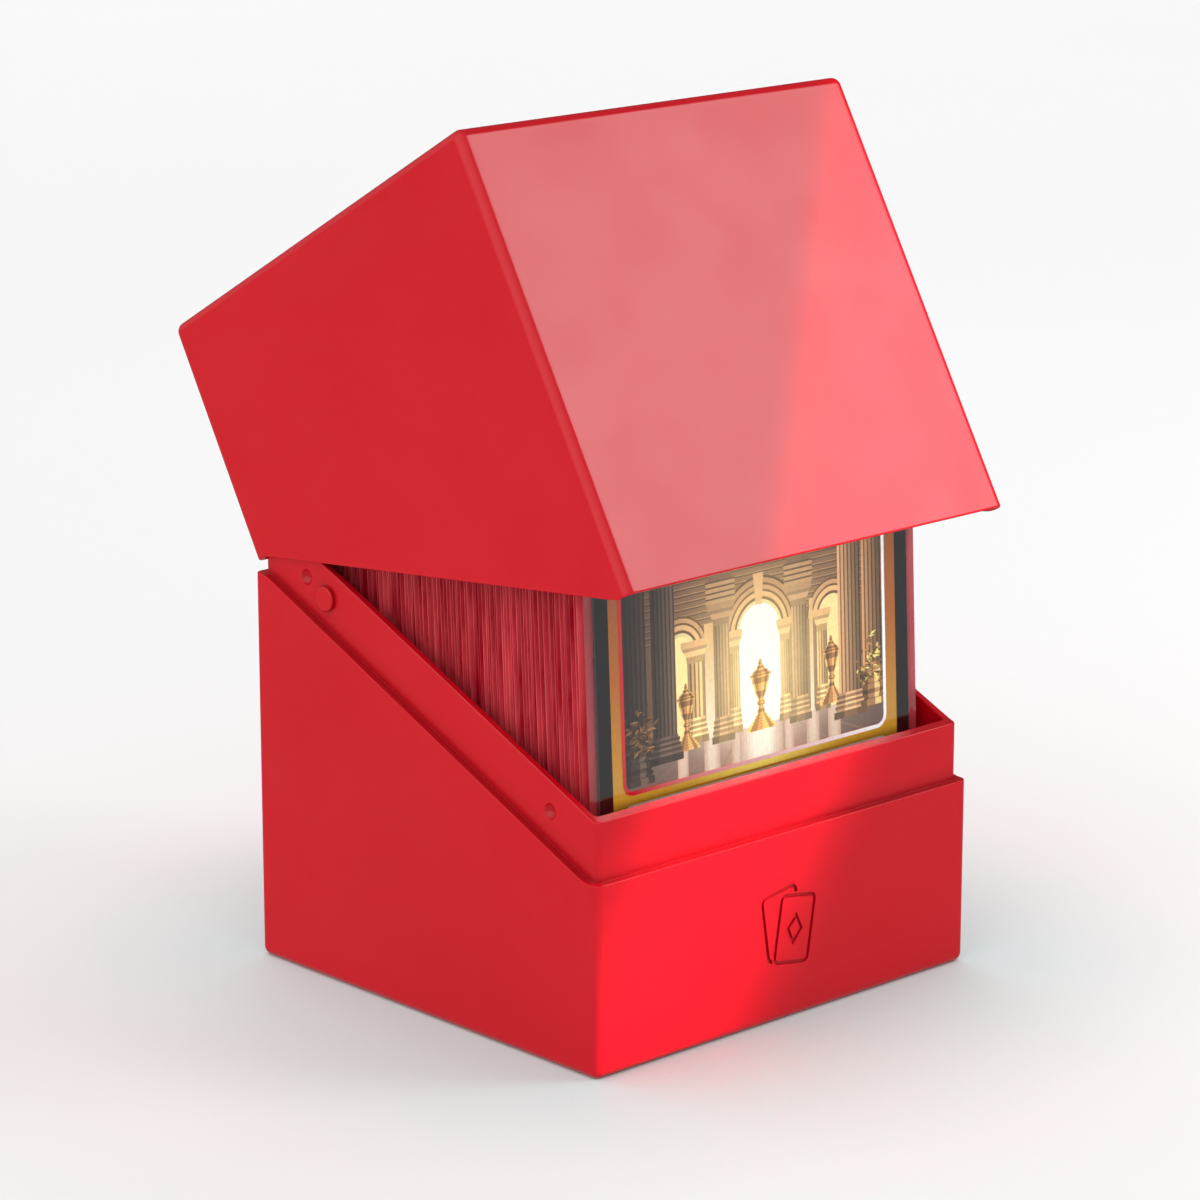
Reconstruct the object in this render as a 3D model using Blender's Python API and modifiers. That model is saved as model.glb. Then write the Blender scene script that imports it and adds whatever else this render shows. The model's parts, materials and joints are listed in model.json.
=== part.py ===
"""Card deck box: a shell with a standing collar, a lid that tips back over its rear edge, and sleeved cards.

The box is split along a slope that runs from a low front to a high back. The frame has its origin at the
centre of the bottom face, +Z up, +Y towards the back and +X to the right. The lid is modelled closed and
hangs on an empty that lies on the hinge line and is turned to the lid's resting angle.
"""
import math

import bmesh
import bpy
from mathutils import Matrix, Vector

MM = 0.001

# Outer box, closed.
WIDTH = 76.0 * MM
DEPTH = 75.0 * MM
HEIGHT = 98.0 * MM
EDGE_RADIUS = 1.4 * MM
FLOOR = 1.6 * MM
FRONT = -DEPTH / 2
BACK = DEPTH / 2

# How far a cutter runs past the solid it cuts.
OVERSHOOT = 10.0 * MM

# Slope that splits the base from the lid, level over the front and back walls.
SPLIT_FRONT_Z = 28.7 * MM
SPLIT_KNEE = 2.6 * MM
SLOPE = 0.448
SPLIT_RADIUS = 5.0 * MM
SEAM = 0.2 * MM

# Ledge around the collar, and the collar's own wall.
LEDGE_FRONT = 1.25 * MM
LEDGE_SIDE = 1.25 * MM
COLLAR_FRONT_Z = 37.6 * MM
COLLAR_KNEE = 2.1 * MM
COLLAR_KNEE_RADIUS = 3.0 * MM
COLLAR_WALL_FRONT = 1.6 * MM
COLLAR_WALL_SIDE = 1.2 * MM
COLLAR_RADIUS = 1.0 * MM
COLLAR_INNER_RADIUS = 0.7 * MM
LINER_GAP = 0.15 * MM

# Lid walls, thinner than the ledge so that the lid slides over the collar.
LID_WALL_FRONT = 0.7 * MM
LID_WALL_SIDE = 0.9 * MM
LID_TOP = 2.3 * MM

# Hinge line of the tipping lid, and the angle at which the lid rests.
HINGE_Y = BACK + 2.3 * MM
HINGE_Z = 61.8 * MM
LID_REST_ANGLE = math.radians(30)

# Guide studs and detent dimples on the collar's sides, as (y, z).
STUD_AT = (22.0 * MM, 58.6 * MM)
STUD_RADIUS = 1.9 * MM
STUD_HEIGHT = 0.7 * MM
STUD_ROOT = 0.5 * MM
STUD_ROUNDING = 0.2 * MM
DIMPLES_AT = ((-26.6 * MM, 37.1 * MM), (26.5 * MM, 61.0 * MM))
DIMPLE_RADIUS = 1.2 * MM
DIMPLE_DEPTH = 0.7 * MM
BUMP_RADIUS = 0.5 * MM
BUMP_HEIGHT = 0.2 * MM
SLOT_CLEARANCE = 0.5 * MM
SLOT_DEPTH = 0.55 * MM
SLOT_SWEEP = math.radians(22)
SLOT_STEPS = 10

# Engraved emblem on the front: two fanned card outlines with a diamond.
EMBLEM_Z = 14.3 * MM
EMBLEM_CARD = (7.4 * MM, 10.6 * MM)
EMBLEM_CORNER = 1.1 * MM
EMBLEM_LEAN = math.radians(9)
EMBLEM_SHIFT = 1.3 * MM
DIAMOND_REACH = (1.7 * MM, 2.5 * MM)
DIAMOND_CORE = 0.62
GROOVE_WIDTH = 0.55 * MM
GROOVE_DEPTH = 0.3 * MM

# Cards and sleeves, which lean back in the box.
CARD_WIDTH = 63.0 * MM
CARD_HEIGHT = 88.0 * MM
CARD_THICKNESS = 0.3 * MM
CARD_CORNER = 3.0 * MM
SLEEVE_WIDTH = 66.5 * MM
SLEEVE_HEIGHT = 90.6 * MM
POCKET_WALL = 0.2 * MM
POCKET_GAP = 0.5 * MM
POCKET_WELD = 0.8 * MM
SLEEVED_PITCH = 0.66 * MM
PACKETS = 18
CARDS_PER_PACKET = 5
PACKET_GAP = 0.25 * MM
DECK_LEAN = math.radians(2.6)
DECK_FRONT_Y = FRONT + 4.05 * MM
REST_GAP = 0.3 * MM

SIDES = (-1, 1)


def clear_scene():
    for obj in list(bpy.data.objects):
        bpy.data.objects.remove(obj, do_unlink=True)


def new_collection(name):
    collection = bpy.data.collections.new(name)
    bpy.context.scene.collection.children.link(collection)
    return collection


def move_to(obj, collection):
    for owner in list(obj.users_collection):
        owner.objects.unlink(obj)
    collection.objects.link(obj)


def material(name, colour, roughness, metallic=0.0, alpha=1.0):
    mat = bpy.data.materials.new(name)
    mat.use_nodes = True
    shader = mat.node_tree.nodes["Principled BSDF"]
    shader.inputs["Base Color"].default_value = (*colour, 1.0)
    shader.inputs["Roughness"].default_value = roughness
    shader.inputs["Metallic"].default_value = metallic
    shader.inputs["Alpha"].default_value = alpha
    return mat


def keep(obj, name, mat):
    """Name a finished part, give it its material and put it with the parts."""
    obj.name = name
    obj.data.name = name
    obj.data.materials.clear()
    obj.data.materials.append(mat)
    move_to(obj, parts)
    obj.data.shade_smooth()
    obj.data.set_sharp_from_angle(angle=math.radians(35))
    return obj


def as_cutter(obj):
    obj.hide_render = True
    obj.display_type = "WIRE"
    move_to(obj, cutters)
    return obj


def box(low, high):
    """A plain box between two corners, with its scale applied."""
    low = Vector(low)
    high = Vector(high)
    bpy.ops.mesh.primitive_cube_add(size=1.0, location=(low + high) / 2)
    obj = bpy.context.object
    obj.data.transform(Matrix.Diagonal((*(high - low), 1.0)))
    return obj


def bevel(obj, width, segments=4, angle=math.radians(30)):
    mod = obj.modifiers.new("Bevel", "BEVEL")
    mod.width = width
    mod.segments = segments
    mod.limit_method = "ANGLE"
    mod.angle_limit = angle
    return obj


def boolean(obj, other, operation="DIFFERENCE"):
    mod = obj.modifiers.new(operation.title(), "BOOLEAN")
    mod.operation = operation
    mod.solver = "EXACT"
    mod.object = as_cutter(other)
    return obj


def rounded(points, radius, steps=6):
    """The polyline with its inner corners replaced by arcs of the given radius."""
    result = [points[0]]
    for before, corner, after in zip(points, points[1:], points[2:]):
        corner = Vector(corner)
        back = (Vector(before) - corner).normalized()
        ahead = (Vector(after) - corner).normalized()
        half = back.angle(ahead) / 2
        reach = radius / math.tan(half)
        start = corner + back * reach
        end = corner + ahead * reach
        centre = corner + (back + ahead).normalized() * (radius / math.sin(half))
        sweep = math.pi - 2 * half
        turn = 1 if (start - centre).cross(end - centre) > 0 else -1
        for step in range(steps + 1):
            spoke = Matrix.Rotation(turn * sweep * step / steps, 2) @ (start - centre)
            result.append(tuple(centre + spoke))
    result.append(points[-1])
    return result


def prism(outlines, thickness, matrix):
    """A flat shape from closed outlines, extruded evenly to both sides of its plane, as a mesh."""
    curve = bpy.data.curves.new("outline", "CURVE")
    curve.dimensions = "2D"
    curve.fill_mode = "BOTH"
    curve.extrude = thickness / 2
    for outline in outlines:
        spline = curve.splines.new("POLY")
        spline.points.add(len(outline) - 1)
        for point, (u, v) in zip(spline.points, outline):
            point.co = (u, v, 0.0, 1.0)
        spline.use_cyclic_u = True
    drawn = bpy.data.objects.new("outline", curve)
    bpy.context.scene.collection.objects.link(drawn)
    drawn.matrix_world = matrix
    bpy.context.view_layer.update()
    evaluated = drawn.evaluated_get(bpy.context.evaluated_depsgraph_get())
    mesh = bpy.data.meshes.new_from_object(evaluated)
    obj = bpy.data.objects.new("prism", mesh)
    bpy.context.scene.collection.objects.link(obj)
    obj.matrix_world = drawn.matrix_world
    bpy.data.objects.remove(drawn, do_unlink=True)
    solid = bmesh.new()
    solid.from_mesh(mesh)
    bmesh.ops.remove_doubles(solid, verts=solid.verts, dist=1e-7)
    bmesh.ops.recalc_face_normals(solid, faces=solid.faces)
    solid.to_mesh(mesh)
    solid.free()
    return obj


def side_plane(x=0.0):
    """Plane of an outline drawn in (y, z) and extruded along X."""
    return Matrix(((0, 0, 1, x), (1, 0, 0, 0), (0, 1, 0, 0), (0, 0, 0, 1)))


def front_plane(y=0.0):
    """Plane of an outline drawn in (x, z) and extruded along Y."""
    return Matrix(((1, 0, 0, 0), (0, 0, -1, y), (0, 1, 0, 0), (0, 0, 0, 1)))


def split_line(front_z, knee, radius):
    """Side view of the slope, as (y, z): level for the knee's width at the front and at the back."""
    start = FRONT - OVERSHOOT
    end = BACK + OVERSHOOT
    back_z = front_z + SLOPE * (DEPTH - 2 * knee)
    corners = [(start, front_z), (FRONT + knee, front_z), (BACK - knee, back_z), (end, back_z)]
    return rounded(corners, radius)


def above(line):
    """Cutter that takes away everything over the line."""
    top = HEIGHT + OVERSHOOT
    return prism([line + [(line[-1][0], top), (line[0][0], top)]], 2 * WIDTH, side_plane())


def below(line):
    """Cutter that takes away everything under the line."""
    bottom = -OVERSHOOT
    return prism([line + [(line[-1][0], bottom), (line[0][0], bottom)]], 2 * WIDTH, side_plane())


def outer_block():
    low = (-WIDTH / 2, FRONT, 0.0)
    high = (WIDTH / 2, BACK, HEIGHT)
    return bevel(box(low, high), EDGE_RADIUS)


def hollow(side_inset, front_inset, low_z, high_z, radius):
    """Block with rounded edges that fills the space inside the given wall thicknesses."""
    low = (-WIDTH / 2 + side_inset, FRONT + front_inset, low_z)
    high = (WIDTH / 2 - side_inset, BACK - front_inset, high_z)
    return bevel(box(low, high), radius)


def rod(radius, length, at, vertices=32):
    """Cylinder along X, centred on the given point."""
    bpy.ops.mesh.primitive_cylinder_add(
        radius=radius, depth=length, location=at, rotation=(0, math.pi / 2, 0), vertices=vertices)
    return bpy.context.object


def ball(radius, at):
    bpy.ops.mesh.primitive_uv_sphere_add(radius=radius, location=at, segments=24, ring_count=16)
    return bpy.context.object


def round_rectangle(width, height, radius, lean=0.0, shift=(0.0, 0.0), steps=5):
    """Closed outline of a rounded rectangle, turned by lean about its centre and then shifted."""
    outline = []
    for quarter, (sx, sy) in enumerate(((1, 1), (-1, 1), (-1, -1), (1, -1))):
        centre = Vector((sx * (width / 2 - radius), sy * (height / 2 - radius)))
        for step in range(steps + 1):
            angle = (quarter + step / steps) * math.pi / 2
            point = centre + radius * Vector((math.cos(angle), math.sin(angle)))
            outline.append(tuple(Matrix.Rotation(lean, 2) @ point + Vector(shift)))
    return outline


def emblem_outline(grow, lean, shift):
    width, height = EMBLEM_CARD
    return round_rectangle(width + grow, height + grow, EMBLEM_CORNER + grow / 2, lean, shift)


def diamond_outline(share, lean, shift):
    wide, high = (reach * share for reach in DIAMOND_REACH)
    turn = Matrix.Rotation(lean, 2)
    corners = ((wide, 0), (0, high), (-wide, 0), (0, -high))
    return [tuple(turn @ Vector(corner) + Vector(shift)) for corner in corners]


def engrave_emblem(shell):
    """Cut the two card outlines and the diamond into the front face."""
    plane = front_plane(FRONT)
    depth = 2 * GROOVE_DEPTH
    front_card = (-EMBLEM_LEAN, (EMBLEM_SHIFT, EMBLEM_Z - EMBLEM_SHIFT / 2))
    back_card = (EMBLEM_LEAN, (-EMBLEM_SHIFT, EMBLEM_Z + EMBLEM_SHIFT / 2))
    rings = [emblem_outline(0.0, *back_card), emblem_outline(-2 * GROOVE_WIDTH, *back_card)]
    behind = prism(rings, depth, plane)
    boolean(behind, prism([emblem_outline(GROOVE_WIDTH, *front_card)], 2 * depth, plane))
    boolean(shell, behind)
    rings = [emblem_outline(0.0, *front_card), emblem_outline(-2 * GROOVE_WIDTH, *front_card)]
    boolean(shell, prism(rings, depth, plane))
    diamonds = [diamond_outline(1.0, *front_card), diamond_outline(DIAMOND_CORE, *front_card)]
    boolean(shell, prism(diamonds, depth, plane))


def make_base_shell():
    shell = outer_block()
    boolean(shell, above(split_line(SPLIT_FRONT_Z, SPLIT_KNEE, SPLIT_RADIUS)))
    side = LEDGE_SIDE - LINER_GAP
    front = LEDGE_FRONT - LINER_GAP
    boolean(shell, hollow(side, front, FLOOR, 2 * HEIGHT, COLLAR_RADIUS))
    engrave_emblem(shell)
    return keep(shell, "base_shell", red_plastic)


def make_collar_liner():
    """Four walls that line the base and stand out of it as the collar, with studs and dimples."""
    low_z = FLOOR + LINER_GAP
    liner = hollow(LEDGE_SIDE, LEDGE_FRONT, low_z, HEIGHT, COLLAR_RADIUS)
    boolean(liner, above(split_line(COLLAR_FRONT_Z, COLLAR_KNEE, COLLAR_KNEE_RADIUS)))
    side = LEDGE_SIDE + COLLAR_WALL_SIDE
    front = LEDGE_FRONT + COLLAR_WALL_FRONT
    boolean(liner, hollow(side, front, -HEIGHT, 2 * HEIGHT, COLLAR_INNER_RADIUS))
    collar_x = WIDTH / 2 - LEDGE_SIDE
    for side in SIDES:
        middle_x = side * (collar_x + (STUD_HEIGHT - STUD_ROOT) / 2)
        stud = rod(STUD_RADIUS, STUD_HEIGHT + STUD_ROOT, (middle_x, *STUD_AT))
        boolean(liner, bevel(stud, STUD_ROUNDING, segments=2), "UNION")
        radius = (DIMPLE_RADIUS ** 2 + DIMPLE_DEPTH ** 2) / (2 * DIMPLE_DEPTH)
        for at in DIMPLES_AT:
            boolean(liner, ball(radius, (side * (collar_x + radius - DIMPLE_DEPTH), *at)))
    return keep(liner, "collar_liner", red_plastic)


def stud_slot(side):
    """Cutter for the groove in the lid's side wall that the stud runs out of as the lid tips back."""
    arm = Vector((STUD_AT[0] - HINGE_Y, STUD_AT[1] - HINGE_Z))
    start = math.atan2(arm.y, arm.x)
    half_width = STUD_RADIUS + SLOT_CLEARANCE

    def at(radius, angle):
        return (HINGE_Y + radius * math.cos(angle), HINGE_Z + radius * math.sin(angle))

    sweep = [start + SLOT_SWEEP * step / SLOT_STEPS for step in range(SLOT_STEPS + 1)]
    outer = [at(arm.length + half_width, angle) for angle in sweep]
    inner = [at(arm.length - half_width, angle) for angle in reversed(sweep)]
    centre = Vector(at(arm.length, start))
    cap = []
    for step in range(1, SLOT_STEPS):
        angle = start + math.pi + math.pi * step / SLOT_STEPS
        cap.append(tuple(centre + half_width * Vector((math.cos(angle), math.sin(angle)))))
    wall_x = side * (WIDTH / 2 - LID_WALL_SIDE)
    return prism([outer + inner + cap], 2 * SLOT_DEPTH, side_plane(wall_x))


def make_lid_shell(hinge):
    """Lid, modelled closed: it takes the hinge's turn when it is parented."""
    lid = outer_block()
    boolean(lid, below(split_line(SPLIT_FRONT_Z + SEAM, SPLIT_KNEE, SPLIT_RADIUS)))
    boolean(lid, hollow(LID_WALL_SIDE, LID_WALL_FRONT, -HEIGHT, HEIGHT - LID_TOP, COLLAR_RADIUS))
    wall_x = WIDTH / 2 - LID_WALL_SIDE
    for side in SIDES:
        boolean(lid, stud_slot(side))
        for at in DIMPLES_AT:
            boolean(lid, ball(BUMP_RADIUS, (side * (wall_x + BUMP_RADIUS - BUMP_HEIGHT), *at)), "UNION")
    keep(lid, "lid_shell", red_plastic)
    for part in [lid] + [mod.object for mod in lid.modifiers if mod.type == "BOOLEAN"]:
        part.parent = hinge
        part.matrix_parent_inverse = Matrix.Translation((0, -HINGE_Y, -HINGE_Z))
    return lid


def lean_frame(y, z=FLOOR + REST_GAP):
    """Frame of a card whose bottom front edge stands at y, with the deck's lean."""
    return Matrix.Translation((0, y, z)) @ Matrix.Rotation(-DECK_LEAN, 4, "X")


def make_front_sleeve():
    thickness = 2 * POCKET_WALL + POCKET_GAP
    sleeve = box((-SLEEVE_WIDTH / 2, 0, 0), (SLEEVE_WIDTH / 2, thickness, SLEEVE_HEIGHT))
    inner = SLEEVE_WIDTH / 2 - POCKET_WELD
    pocket = box((-inner, POCKET_WALL, POCKET_WELD), (inner, POCKET_WALL + POCKET_GAP, 2 * SLEEVE_HEIGHT))
    for obj in (sleeve, pocket):
        obj.matrix_world = lean_frame(DECK_FRONT_Y) @ obj.matrix_world
    boolean(sleeve, pocket)
    return keep(sleeve, "front_sleeve", sleeve_film)


def make_front_card():
    outline = round_rectangle(CARD_WIDTH, CARD_HEIGHT, CARD_CORNER)
    middle = POCKET_WALL + POCKET_GAP / 2
    height = POCKET_WELD + REST_GAP + CARD_HEIGHT / 2
    place = lean_frame(DECK_FRONT_Y) @ Matrix.Translation((0, middle, height)) @ front_plane()
    return keep(prism([outline], CARD_THICKNESS, place), "front_card", card_face)


def make_card_packet(index):
    """Five sleeved cards that lie against each other on the common lean, as one block."""
    pitch = CARDS_PER_PACKET * SLEEVED_PITCH
    first_y = DECK_FRONT_Y + 2 * POCKET_WALL + POCKET_GAP + REST_GAP
    packet = box((-SLEEVE_WIDTH / 2, 0, 0), (SLEEVE_WIDTH / 2, pitch - PACKET_GAP, SLEEVE_HEIGHT))
    packet.matrix_world = lean_frame(first_y + index * pitch) @ packet.matrix_world
    return keep(packet, f"sleeved_cards_{index + 1:02d}", sleeve_stack)


clear_scene()
parts = new_collection("card_deck_box")
cutters = new_collection("cutters")

red_plastic = material("red_plastic", (0.58, 0.022, 0.032), 0.32)
sleeve_film = material("sleeve_film", (0.9, 0.35, 0.38), 0.12, alpha=0.35)
card_face = material("card_face", (0.62, 0.42, 0.16), 0.35)
sleeve_stack = material("sleeve_stack", (0.42, 0.015, 0.05), 0.25)

hinge_axis = bpy.data.objects.new("lid_hinge", None)
parts.objects.link(hinge_axis)
hinge_axis.location = (0, HINGE_Y, HINGE_Z)
hinge_axis.rotation_euler = (-LID_REST_ANGLE, 0, 0)

make_base_shell()
make_collar_liner()
make_lid_shell(hinge_axis)
make_front_sleeve()
make_front_card()
for packet_index in range(PACKETS):
    make_card_packet(packet_index)
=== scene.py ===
"""Looks of the card deck box: red shells, a clear front sleeve, a printed card and a deck of sleeves."""
import json
import math
import random

import bmesh
import bpy
from mathutils import Matrix, Vector


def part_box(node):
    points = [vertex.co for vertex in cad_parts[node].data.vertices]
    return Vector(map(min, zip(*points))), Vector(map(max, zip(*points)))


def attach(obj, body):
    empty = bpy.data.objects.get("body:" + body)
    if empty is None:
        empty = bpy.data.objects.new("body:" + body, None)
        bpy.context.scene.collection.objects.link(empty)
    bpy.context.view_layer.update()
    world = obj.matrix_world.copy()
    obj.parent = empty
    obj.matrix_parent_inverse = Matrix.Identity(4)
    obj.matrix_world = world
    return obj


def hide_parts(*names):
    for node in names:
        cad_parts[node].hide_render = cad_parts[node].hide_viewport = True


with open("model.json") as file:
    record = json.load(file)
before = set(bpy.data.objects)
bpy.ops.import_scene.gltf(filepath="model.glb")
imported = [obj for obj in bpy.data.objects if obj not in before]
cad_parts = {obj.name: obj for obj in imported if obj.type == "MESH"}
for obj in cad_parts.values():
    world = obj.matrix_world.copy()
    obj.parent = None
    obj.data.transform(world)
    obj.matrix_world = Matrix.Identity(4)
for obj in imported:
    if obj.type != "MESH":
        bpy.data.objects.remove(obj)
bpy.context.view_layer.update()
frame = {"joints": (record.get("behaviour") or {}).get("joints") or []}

MM = 0.001

# The outer box, closed, and the slope that splits it: the same sizes as the CAD model's, but for the
# lid's edges, which are a hair rounder so that its facets stay inside the CAD model.
BASE_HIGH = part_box("base_shell")[1]
HALF_X = BASE_HIGH.x
HALF_Y = BASE_HIGH.y
HEIGHT = 98.0 * MM
EDGE_RADIUS = 1.4 * MM
LID_EDGE_RADIUS = 1.46 * MM
FLOOR = 1.6 * MM
SPLIT_FRONT_Z = 28.7 * MM
SPLIT_KNEE = 2.6 * MM
SLOPE = 0.448
SPLIT_RADIUS = 5.0 * MM
SEAM = 0.2 * MM
LEDGE_FRONT = 1.25 * MM
LEDGE_SIDE = 1.25 * MM
COLLAR_FRONT_Z = 37.6 * MM
COLLAR_KNEE = 2.1 * MM
COLLAR_KNEE_RADIUS = 3.0 * MM
COLLAR_WALL_FRONT = 1.6 * MM
COLLAR_WALL_SIDE = 1.2 * MM
COLLAR_RADIUS = 1.0 * MM
INNER_RADIUS = 0.7 * MM
LID_WALL_FRONT = 0.7 * MM
LID_WALL_SIDE = 0.9 * MM
LID_TOP = 2.3 * MM
HINGE = Vector(frame["joints"][0]["pos_m"])
LID_REST_ANGLE = math.radians(30)

# Small moulded details.
STUD_AT = (22.0 * MM, 58.6 * MM)
STUD_RADIUS = 1.9 * MM
STUD_HEIGHT = 0.7 * MM
DIMPLES_AT = ((-26.6 * MM, 37.1 * MM), (26.5 * MM, 61.0 * MM))
DIMPLE_RADIUS = 1.2 * MM
DIMPLE_DEPTH = 0.7 * MM
BUMP_RADIUS = 0.5 * MM
BUMP_HEIGHT = 0.2 * MM
SLOT_CLEARANCE = 0.5 * MM
SLOT_DEPTH = 0.55 * MM
SLOT_SWEEP = math.radians(22)
EMBLEM_Z = 14.3 * MM
EMBLEM_CARD = (7.4 * MM, 10.6 * MM)
EMBLEM_CORNER = 1.1 * MM
EMBLEM_LEAN = math.radians(9)
EMBLEM_SHIFT = 1.3 * MM
DIAMOND_REACH = (1.7 * MM, 2.5 * MM)
DIAMOND_CORE = 0.62
GROOVE_WIDTH = 0.55 * MM
GROOVE_DEPTH = 0.3 * MM
RIM_FILLET = 0.25 * MM
LEDGE_FILLET = 0.12 * MM
ROOT_FILLET = 0.04 * MM
INSIDE_FILLET = 0.6 * MM

# The deck, which leans back in the box.
CARD_WIDTH = 63.0 * MM
CARD_HEIGHT = 88.0 * MM
CARD_THICKNESS = 0.3 * MM
CARD_CORNER = 3.0 * MM
SLEEVE_WIDTH = 66.5 * MM
SLEEVE_HEIGHT = 90.6 * MM
POCKET_DEPTH = 0.9 * MM
POCKET_WELD = 0.8 * MM
SLEEVED_PITCH = 0.66 * MM
PACKETS = 18
CARDS_PER_PACKET = 5
DECK_SHIFT = -0.3 * MM
DECK_LEAN = math.radians(2.6)
DECK_FRONT_Y = -HALF_Y + 4.05 * MM
REST_GAP = 0.3 * MM

# The slanting beam: where its middle crosses, its width and its spread in degrees.
BAND_AT = -19.9 * MM
BAND_WIDTH = 32.5 * MM
BAND_SPREAD = 3

# The middle of the lid's front face at rest.
LID_FACE = (0.0, -0.028, 0.105)

SIDES = (-1, 1)
random.seed(20)


# ---------------------------------------------------------------- meshes

def new_object(name, mesh):
    obj = bpy.data.objects.new(name, mesh)
    bpy.context.scene.collection.objects.link(obj)
    return obj


def from_faces(name, points, faces):
    mesh = bpy.data.meshes.new(name)
    mesh.from_pydata([tuple(p) for p in points], [], faces)
    solid = bmesh.new()
    solid.from_mesh(mesh)
    bmesh.ops.remove_doubles(solid, verts=solid.verts, dist=1e-7)
    bmesh.ops.dissolve_degenerate(solid, edges=solid.edges, dist=1e-8)
    bmesh.ops.recalc_face_normals(solid, faces=solid.faces)
    solid.to_mesh(mesh)
    solid.free()
    return new_object(name, mesh)


def applied(obj):
    """The object with its modifiers turned into mesh."""
    bpy.context.view_layer.update()
    evaluated = obj.evaluated_get(bpy.context.evaluated_depsgraph_get())
    mesh = bpy.data.meshes.new_from_object(evaluated)
    obj.modifiers.clear()
    obj.data = mesh
    return obj


def combine(obj, other, operation="DIFFERENCE"):
    mod = obj.modifiers.new(operation.title(), "BOOLEAN")
    mod.operation = operation
    mod.solver = "EXACT"
    mod.object = other
    applied(obj)
    bpy.data.objects.remove(other, do_unlink=True)
    return obj


def smooth(obj, angle=32):
    obj.data.shade_smooth()
    obj.data.set_sharp_from_angle(angle=math.radians(angle))
    mod = obj.modifiers.new("Weighted", "WEIGHTED_NORMAL")
    mod.keep_sharp = True
    return obj


def prism(outlines, thickness, matrix):
    """A flat shape from closed outlines, extruded evenly to both sides of its plane."""
    curve = bpy.data.curves.new("outline", "CURVE")
    curve.dimensions = "2D"
    curve.fill_mode = "BOTH"
    curve.extrude = thickness / 2
    for outline in outlines:
        spline = curve.splines.new("POLY")
        spline.points.add(len(outline) - 1)
        for point, (u, v) in zip(spline.points, outline):
            point.co = (u, v, 0.0, 1.0)
        spline.use_cyclic_u = True
    drawn = new_object("outline", curve)
    drawn.matrix_world = matrix
    mesh = bpy.data.meshes.new_from_object(drawn.evaluated_get(bpy.context.evaluated_depsgraph_get()))
    mesh.transform(matrix)
    bpy.data.objects.remove(drawn, do_unlink=True)
    solid = bmesh.new()
    solid.from_mesh(mesh)
    bmesh.ops.remove_doubles(solid, verts=solid.verts, dist=1e-7)
    bmesh.ops.recalc_face_normals(solid, faces=solid.faces)
    solid.to_mesh(mesh)
    solid.free()
    return new_object("prism", mesh)


def side_plane(x=0.0):
    return Matrix(((0, 0, 1, x), (1, 0, 0, 0), (0, 1, 0, 0), (0, 0, 0, 1)))


def front_plane(y=0.0):
    return Matrix(((1, 0, 0, 0), (0, 0, -1, y), (0, 1, 0, 0), (0, 0, 0, 1)))


def spaced(start, end, ends=8, middle=24, end_length=5.0 * MM):
    """Positions from start to end, closer together over end_length at both ends."""
    sign = 1 if end > start else -1
    first = [start + sign * end_length * i / ends for i in range(ends)]
    mid_start = start + sign * end_length
    mid_end = end - sign * end_length
    mid = [mid_start + (mid_end - mid_start) * i / middle for i in range(middle)]
    last = [mid_end + sign * end_length * i / ends for i in range(ends + 1)]
    return first + mid + last


def ring(half_x, half_y, radius, corner_steps=8):
    """Rounded rectangle seen from above, always with the same number of points."""
    radius = max(radius, 0.0)
    sx = half_x - radius
    sy = half_y - radius
    points = []
    sides = (
        [(half_x, y) for y in spaced(-sy, sy)],
        [(x, half_y) for x in spaced(sx, -sx, middle=6)],
        [(-half_x, y) for y in spaced(sy, -sy)],
        [(x, -half_y) for x in spaced(-sx, sx, middle=6)],
    )
    centres = ((sx, sy), (-sx, sy), (-sx, -sy), (sx, -sy))
    for quarter, (side, (cx, cy)) in enumerate(zip(sides, centres)):
        points += side
        for step in range(1, corner_steps):
            angle = (quarter + step / corner_steps) * math.pi / 2
            points.append((cx + radius * math.cos(angle), cy + radius * math.sin(angle)))
    return points


def split_height(front_z, knee, radius):
    """Height of the slope as a function of y: level over the knees, with a soft bend at each."""
    low_y = -HALF_Y + knee
    high_y = HALF_Y - knee
    reach = radius * math.tan(math.atan(SLOPE) / 2)
    back_z = front_z + SLOPE * (high_y - low_y)

    def height(y):
        if y < low_y - reach:
            return front_z
        if y < low_y + reach:
            return front_z + SLOPE * (y - low_y + reach) ** 2 / (4 * reach)
        if y < high_y - reach:
            return front_z + SLOPE * (y - low_y)
        if y < high_y + reach:
            return back_z - SLOPE * (high_y + reach - y) ** 2 / (4 * reach)
        return back_z

    return height


def level(z):
    return lambda y: z


def quarter_arc(steps=5):
    for step in range(steps + 1):
        angle = step / steps * math.pi / 2
        yield 1 - math.sin(angle), 1 - math.cos(angle)


def loft(name, rows):
    """A closed skin through rings. A row is (side inset, front inset, corner radius, height over y, rise)."""
    points = []
    for side, front, radius, height, rise in rows:
        for x, y in ring(HALF_X - side, HALF_Y - front, radius):
            points.append((x, y, height(y) + rise))
    count = len(points) // len(rows)
    faces = [list(range(count))]
    for row in range(len(rows) - 1):
        base = row * count
        for i in range(count):
            j = (i + 1) % count
            faces.append([base + i, base + j, base + count + j, base + count + i])
    faces.append([len(points) - count + i for i in range(count)])
    return from_faces(name, points, faces)


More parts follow.
